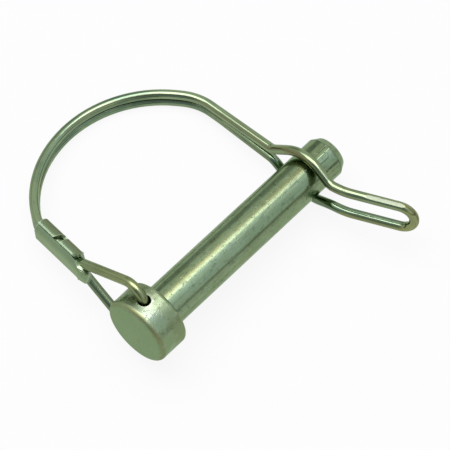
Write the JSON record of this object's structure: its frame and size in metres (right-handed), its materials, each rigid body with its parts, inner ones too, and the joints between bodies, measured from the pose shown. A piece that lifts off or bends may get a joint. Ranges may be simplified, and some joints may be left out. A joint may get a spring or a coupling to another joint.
{
  "type": "snap pin",
  "caption": "Headed round pin with a spring-wire bail hinged through its head; the bail's eye snaps over the shank near the tip, and a thumb loop lifts it off.",
  "frame": {"origin": "on the pin's axis, under the head, where the shank begins", "axes": "+X along the shank towards its tip, +Y towards the bail's arc, +Z along the hole through the head"},
  "size_m": [0.0595, 0.0733, 0.0218],
  "materials": {
    "pin_plating": "zinc plated steel with a green-grey passivation, drawn along the shank",
    "wire_plating": "zinc plated spring wire with an olive passivation",
    "clip_plating": "zinc plated sheet steel with a green-grey passivation"
  },
  "bodies": {
    "pin_body": {"pin": "pin_plating"},
    "bail": {"wire_bail": "wire_plating", "ferrule": "clip_plating"}
  },
  "joints": [
    {"name": "bail_swing", "type": "hinge", "parent": "pin_body", "child": "bail", "pos_m": [-0.0037, 0, 0], "axis": [0, 0, 1], "range_deg": [0, 240], "deforming": ["wire_bail"]}
  ]
}
